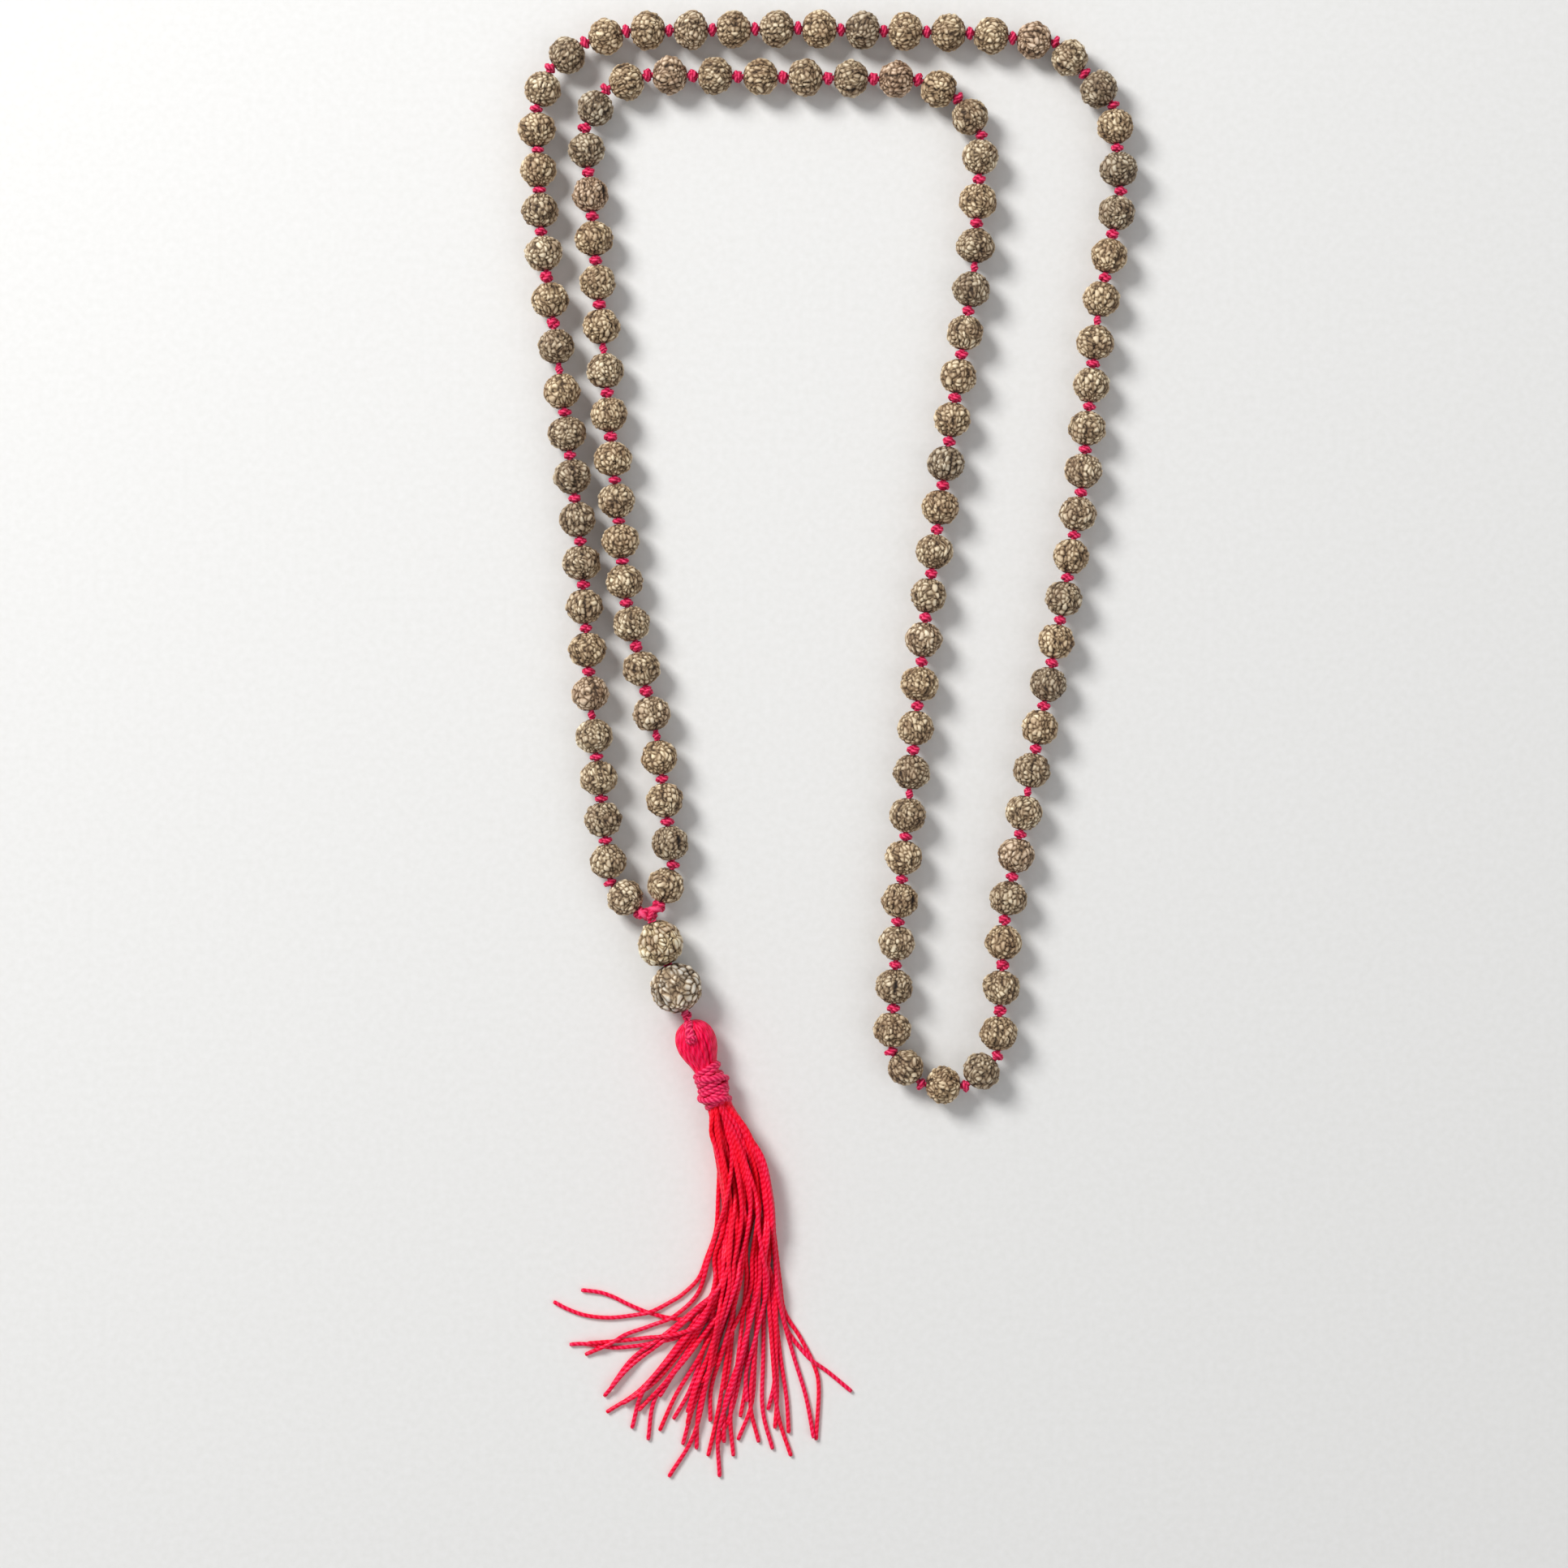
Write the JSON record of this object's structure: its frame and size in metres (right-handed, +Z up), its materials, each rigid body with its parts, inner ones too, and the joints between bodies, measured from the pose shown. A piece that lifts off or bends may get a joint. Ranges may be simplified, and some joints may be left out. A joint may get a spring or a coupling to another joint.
{
  "type": "mala prayer beads",
  "caption": "Loop of ribbed brown seed beads on a knotted crimson cord, joined at two larger guru beads above a long red thread tassel, lying flat.",
  "frame": {"origin": "centre of the flat-laid mala's footprint, on the surface that it rests on", "axes": "+Z up from the surface; +Y away from the tassel, along the strands; +X to the right, from the tassel's side to the side of the bare turn"},
  "size_m": [0.1339, 0.3156, 0.0112],
  "materials": {
    "rudraksha_seed": "matte, deeply wrinkled dry seed",
    "guru_seed": "matte, deeply wrinkled dry seed, lightly polished on the ridges",
    "stringing_cord": "twisted synthetic silk cord with a soft sheen",
    "tassel_head_thread": "smooth laid threads with a soft sheen",
    "tassel_binding_thread": "tightly wound twisted thread",
    "tassel_skirt_thread": "twisted synthetic silk thread with a soft sheen"
  },
  "bodies": {
    "crown": {"cord_crown_outer": "stringing_cord", "cord_crown_inner": "stringing_cord"},
    "left_mid": {"cord_left_outer_mid": "stringing_cord", "cord_left_inner_mid": "stringing_cord"},
    "left_low": {"cord_left_outer_low": "stringing_cord", "cord_left_inner_low": "stringing_cord", "junction_knot": "stringing_cord"},
    "right_mid": {"cord_right_outer_mid": "stringing_cord", "cord_right_inner_mid": "stringing_cord"},
    "right_low": {"cord_right_turn": "stringing_cord"},
    "drop": {"guru_cord": "stringing_cord"},
    "tassel": {"tassel_loop": "stringing_cord", "tassel_head": "tassel_head_thread", "tassel_binding": "tassel_binding_thread", "tassel_skirt": "tassel_skirt_thread", "tassel_threads_left": "tassel_skirt_thread", "tassel_threads_right": "tassel_skirt_thread"},
    "guru_upper": {"guru_bead_upper": "guru_seed"},
    "guru_lower": {"guru_bead_lower": "guru_seed"},
    "run_crown_outer_1": {"beads_crown_outer_1": "rudraksha_seed"},
    "run_crown_outer_2": {"beads_crown_outer_2": "rudraksha_seed"},
    "run_crown_outer_3": {"beads_crown_outer_3": "rudraksha_seed"},
    "run_crown_outer_4": {"beads_crown_outer_4": "rudraksha_seed"},
    "run_crown_outer_5": {"beads_crown_outer_5": "rudraksha_seed"},
    "run_crown_outer_6": {"beads_crown_outer_6": "rudraksha_seed"},
    "run_crown_outer_7": {"beads_crown_outer_7": "rudraksha_seed"},
    "run_crown_outer_8": {"beads_crown_outer_8": "rudraksha_seed"},
    "run_crown_outer_9": {"beads_crown_outer_9": "rudraksha_seed"},
    "run_crown_outer_10": {"beads_crown_outer_10": "rudraksha_seed"},
    "run_crown_outer_11": {"beads_crown_outer_11": "rudraksha_seed"},
    "run_crown_inner_1": {"beads_crown_inner_1": "rudraksha_seed"},
    "run_crown_inner_2": {"beads_crown_inner_2": "rudraksha_seed"},
    "run_crown_inner_3": {"beads_crown_inner_3": "rudraksha_seed"},
    "run_crown_inner_4": {"beads_crown_inner_4": "rudraksha_seed"},
    "run_crown_inner_5": {"beads_crown_inner_5": "rudraksha_seed"},
    "run_crown_inner_6": {"beads_crown_inner_6": "rudraksha_seed"},
    "run_crown_inner_7": {"beads_crown_inner_7": "rudraksha_seed"},
    "run_left_outer_mid_1": {"beads_left_outer_mid_1": "rudraksha_seed"},
    "run_left_outer_mid_2": {"beads_left_outer_mid_2": "rudraksha_seed"},
    "run_left_inner_mid_1": {"beads_left_inner_mid_1": "rudraksha_seed"},
    "run_left_inner_mid_2": {"beads_left_inner_mid_2": "rudraksha_seed"},
    "run_left_inner_mid_3": {"beads_left_inner_mid_3": "rudraksha_seed"},
    "run_left_outer_low_1": {"beads_left_outer_low_1": "rudraksha_seed"},
    "run_left_outer_low_2": {"beads_left_outer_low_2": "rudraksha_seed"},
    "run_left_inner_low_1": {"beads_left_inner_low_1": "rudraksha_seed"},
    "run_left_inner_low_2": {"beads_left_inner_low_2": "rudraksha_seed"},
    "run_right_outer_mid_1": {"beads_right_outer_mid_1": "rudraksha_seed"},
    "run_right_outer_mid_2": {"beads_right_outer_mid_2": "rudraksha_seed"},
    "run_right_outer_mid_3": {"beads_right_outer_mid_3": "rudraksha_seed"},
    "run_right_inner_mid_1": {"beads_right_inner_mid_1": "rudraksha_seed"},
    "run_right_inner_mid_2": {"beads_right_inner_mid_2": "rudraksha_seed"},
    "run_right_inner_mid_3": {"beads_right_inner_mid_3": "rudraksha_seed"},
    "run_right_turn_1": {"beads_right_turn_1": "rudraksha_seed"},
    "run_right_turn_2": {"beads_right_turn_2": "rudraksha_seed"},
    "run_right_turn_3": {"beads_right_turn_3": "rudraksha_seed"},
    "run_right_turn_4": {"beads_right_turn_4": "rudraksha_seed"},
    "run_right_turn_5": {"beads_right_turn_5": "rudraksha_seed"},
    "run_right_turn_6": {"beads_right_turn_6": "rudraksha_seed"},
    "run_right_turn_7": {"beads_right_turn_7": "rudraksha_seed"}
  },
  "joints": [
    {"name": "fold_left_upper", "type": "hinge", "parent": "crown", "child": "left_mid", "pos_m": [-0.05275, 0.08225, 0.00428], "axis": [-0.9037, -0.4281, 0], "range_deg": [0, 40]},
    {"name": "fold_left_lower", "type": "hinge", "parent": "left_mid", "child": "left_low", "pos_m": [-0.0435, 0.00325, 0.00428], "axis": [-0.952, 0.306, 0], "range_deg": [0, 40]},
    {"name": "fold_right_upper", "type": "hinge", "parent": "crown", "child": "right_mid", "pos_m": [0.04525, 0.09625, 0.00428], "axis": [-0.9173, 0.3981, 0], "range_deg": [0, 40]},
    {"name": "fold_right_lower", "type": "hinge", "parent": "right_mid", "child": "right_low", "pos_m": [0.03075, -0.01125, 0.00428], "axis": [-0.9998, -0.0196, 0], "range_deg": [0, 40]},
    {"name": "guru_swing", "type": "hinge", "parent": "left_low", "child": "drop", "pos_m": [-0.038, -0.0373, 0.0049], "axis": [0, 0, 1], "range_deg": [-25, 25]},
    {"name": "tassel_swing", "type": "hinge", "parent": "drop", "child": "tassel", "pos_m": [-0.03005, -0.05915, 0.0056], "axis": [0, 0, 1], "range_deg": [-30, 30]},
    {"name": "guru_upper_spin", "type": "hinge", "parent": "drop", "child": "guru_upper", "pos_m": [-0.03573, -0.04355, 0.0056], "axis": [0.342, -0.9397, 0], "continuous": true},
    {"name": "guru_lower_spin", "type": "hinge", "parent": "drop", "child": "guru_lower", "pos_m": [-0.0322, -0.05323, 0.0056], "axis": [0.342, -0.9397, 0], "continuous": true},
    {"name": "spin_crown_outer_1", "type": "hinge", "parent": "crown", "child": "run_crown_outer_1", "pos_m": [-0.0595, 0.095, 0.00428], "axis": [-0.1322, 0.9912, 0], "continuous": true},
    {"name": "spin_crown_outer_2", "type": "hinge", "parent": "crown", "child": "run_crown_outer_2", "pos_m": [-0.062, 0.123, 0.00428], "axis": [-0.0384, 0.9993, 0], "continuous": true},
    {"name": "spin_crown_outer_3", "type": "hinge", "parent": "crown", "child": "run_crown_outer_3", "pos_m": [-0.061, 0.1405, 0.00428], "axis": [0.3162, 0.9487, 0], "continuous": true},
    {"name": "spin_crown_outer_4", "type": "hinge", "parent": "crown", "child": "run_crown_outer_4", "pos_m": [-0.05575, 0.14775, 0.00428], "axis": [0.8064, 0.5914, 0], "continuous": true},
    {"name": "spin_crown_outer_5", "type": "hinge", "parent": "crown", "child": "run_crown_outer_5", "pos_m": [-0.0475, 0.15175, 0.00428], "axis": [0.9635, 0.2676, 0], "continuous": true},
    {"name": "spin_crown_outer_6", "type": "hinge", "parent": "crown", "child": "run_crown_outer_6", "pos_m": [-0.0245, 0.15325, 0.00428], "axis": [0.9999, 0.0135, 0], "continuous": true},
    {"name": "spin_crown_outer_7", "type": "hinge", "parent": "crown", "child": "run_crown_outer_7", "pos_m": [0.0125, 0.153, 0.00428], "axis": [0.9996, -0.027, 0], "continuous": true},
    {"name": "spin_crown_outer_8", "type": "hinge", "parent": "crown", "child": "run_crown_outer_8", "pos_m": [0.04025, 0.1515, 0.00428], "axis": [0.9942, -0.1075, 0], "continuous": true},
    {"name": "spin_crown_outer_9", "type": "hinge", "parent": "crown", "child": "run_crown_outer_9", "pos_m": [0.05575, 0.14375, 0.00428], "axis": [0.6794, -0.7338, 0], "continuous": true},
    {"name": "spin_crown_outer_10", "type": "hinge", "parent": "crown", "child": "run_crown_outer_10", "pos_m": [0.06275, 0.12775, 0.00428], "axis": [0.0808, -0.9967, 0], "continuous": true},
    {"name": "spin_crown_outer_11", "type": "hinge", "parent": "crown", "child": "run_crown_outer_11", "pos_m": [0.061, 0.1045, 0.00428], "axis": [-0.1758, -0.9844, 0], "continuous": true},
    {"name": "spin_crown_inner_1", "type": "hinge", "parent": "crown", "child": "run_crown_inner_1", "pos_m": [-0.05, 0.10825, 0.00428], "axis": [-0.0839, 0.9965, 0], "continuous": true},
    {"name": "spin_crown_inner_2", "type": "hinge", "parent": "crown", "child": "run_crown_inner_2", "pos_m": [-0.04975, 0.13625, 0.00428], "axis": [0.4679, 0.8838, 0], "continuous": true},
    {"name": "spin_crown_inner_3", "type": "hinge", "parent": "crown", "child": "run_crown_inner_3", "pos_m": [-0.043, 0.142, 0.00428], "axis": [0.9487, 0.3162, 0], "continuous": true},
    {"name": "spin_crown_inner_4", "type": "hinge", "parent": "crown", "child": "run_crown_inner_4", "pos_m": [-0.00925, 0.143, 0.00428], "axis": [0.9999, -0.0171, 0], "continuous": true},
    {"name": "spin_crown_inner_5", "type": "hinge", "parent": "crown", "child": "run_crown_inner_5", "pos_m": [0.02425, 0.1405, 0.00428], "axis": [0.9048, -0.4258, 0], "continuous": true},
    {"name": "spin_crown_inner_6", "type": "hinge", "parent": "crown", "child": "run_crown_inner_6", "pos_m": [0.031, 0.1345, 0.00428], "axis": [0.53, -0.848, 0], "continuous": true},
    {"name": "spin_crown_inner_7", "type": "hinge", "parent": "crown", "child": "run_crown_inner_7", "pos_m": [0.03275, 0.11625, 0.00428], "axis": [-0.0526, -0.9986, 0], "continuous": true},
    {"name": "spin_left_outer_mid_1", "type": "hinge", "parent": "left_mid", "child": "run_left_outer_mid_1", "pos_m": [-0.05525, 0.0615, 0.00428], "axis": [0.1207, -0.9927, 0], "continuous": true},
    {"name": "spin_left_outer_mid_2", "type": "hinge", "parent": "left_mid", "child": "run_left_outer_mid_2", "pos_m": [-0.05175, 0.02425, 0.00428], "axis": [0.0665, -0.9978, 0], "continuous": true},
    {"name": "spin_left_inner_mid_1", "type": "hinge", "parent": "left_mid", "child": "run_left_inner_mid_1", "pos_m": [-0.04675, 0.07025, 0.00428], "axis": [0.0874, -0.9962, 0], "continuous": true},
    {"name": "spin_left_inner_mid_2", "type": "hinge", "parent": "left_mid", "child": "run_left_inner_mid_2", "pos_m": [-0.04425, 0.043, 0.00428], "axis": [0.0957, -0.9954, 0], "continuous": true},
    {"name": "spin_left_inner_mid_3", "type": "hinge", "parent": "left_mid", "child": "run_left_inner_mid_3", "pos_m": [-0.03975, 0.0155, 0.00428], "axis": [0.2187, -0.9758, 0], "continuous": true},
    {"name": "spin_left_outer_low_1", "type": "hinge", "parent": "left_low", "child": "run_left_outer_low_1", "pos_m": [-0.0485, -0.0125, 0.00428], "axis": [0.1104, -0.9939, 0], "continuous": true},
    {"name": "spin_left_outer_low_2", "type": "hinge", "parent": "left_low", "child": "run_left_outer_low_2", "pos_m": [-0.04325, -0.03385, 0.00428], "axis": [0.6963, -0.7177, 0], "continuous": true},
    {"name": "spin_left_inner_low_1", "type": "hinge", "parent": "left_low", "child": "run_left_inner_low_1", "pos_m": [-0.03475, -0.01285, 0.00428], "axis": [0.1254, -0.9921, 0], "continuous": true},
    {"name": "spin_left_inner_low_2", "type": "hinge", "parent": "left_low", "child": "run_left_inner_low_2", "pos_m": [-0.0345, -0.0312, 0.00428], "axis": [-0.3162, -0.9487, 0], "continuous": true},
    {"name": "spin_right_outer_mid_1", "type": "hinge", "parent": "right_mid", "child": "run_right_outer_mid_1", "pos_m": [0.05675, 0.072, 0.00428], "axis": [-0.0942, -0.9956, 0], "continuous": true},
    {"name": "spin_right_outer_mid_2", "type": "hinge", "parent": "right_mid", "child": "run_right_outer_mid_2", "pos_m": [0.05275, 0.03975, 0.00428], "axis": [-0.1615, -0.9869, 0], "continuous": true},
    {"name": "spin_right_outer_mid_3", "type": "hinge", "parent": "right_mid", "child": "run_right_outer_mid_3", "pos_m": [0.047, 0.0075, 0.00428], "axis": [-0.1859, -0.9826, 0], "continuous": true},
    {"name": "spin_right_inner_mid_1", "type": "hinge", "parent": "right_mid", "child": "run_right_inner_mid_1", "pos_m": [0.02925, 0.08325, 0.00428], "axis": [-0.1451, -0.9894, 0], "continuous": true},
    {"name": "spin_right_inner_mid_2", "type": "hinge", "parent": "right_mid", "child": "run_right_inner_mid_2", "pos_m": [0.024, 0.0455, 0.00428], "axis": [-0.1305, -0.9915, 0], "continuous": true},
    {"name": "spin_right_inner_mid_3", "type": "hinge", "parent": "right_mid", "child": "run_right_inner_mid_3", "pos_m": [0.01975, 0.0075, 0.00428], "axis": [-0.0917, -0.9958, 0], "continuous": true},
    {"name": "spin_right_turn_1", "type": "hinge", "parent": "right_low", "child": "run_right_turn_1", "pos_m": [0.041, -0.02475, 0.00428], "axis": [-0.1789, -0.9839, 0], "continuous": true},
    {"name": "spin_right_turn_2", "type": "hinge", "parent": "right_low", "child": "run_right_turn_2", "pos_m": [0.03775, -0.05325, 0.00428], "axis": [-0.0508, -0.9987, 0], "continuous": true},
    {"name": "spin_right_turn_3", "type": "hinge", "parent": "right_low", "child": "run_right_turn_3", "pos_m": [0.0335, -0.07125, 0.00428], "axis": [-0.7328, -0.6805, 0], "continuous": true},
    {"name": "spin_right_turn_4", "type": "hinge", "parent": "right_low", "child": "run_right_turn_4", "pos_m": [0.02525, -0.07425, 0.00428], "axis": [-0.9986, 0.0526, 0], "continuous": true},
    {"name": "spin_right_turn_5", "type": "hinge", "parent": "right_low", "child": "run_right_turn_5", "pos_m": [0.01725, -0.0705, 0.00428], "axis": [-0.6805, 0.7328, 0], "continuous": true},
    {"name": "spin_right_turn_6", "type": "hinge", "parent": "right_low", "child": "run_right_turn_6", "pos_m": [0.01475, -0.053, 0.00428], "axis": [0.0535, 0.9986, 0], "continuous": true},
    {"name": "spin_right_turn_7", "type": "hinge", "parent": "right_low", "child": "run_right_turn_7", "pos_m": [0.01675, -0.02525, 0.00428], "axis": [0.0905, 0.9959, 0], "continuous": true}
  ]
}
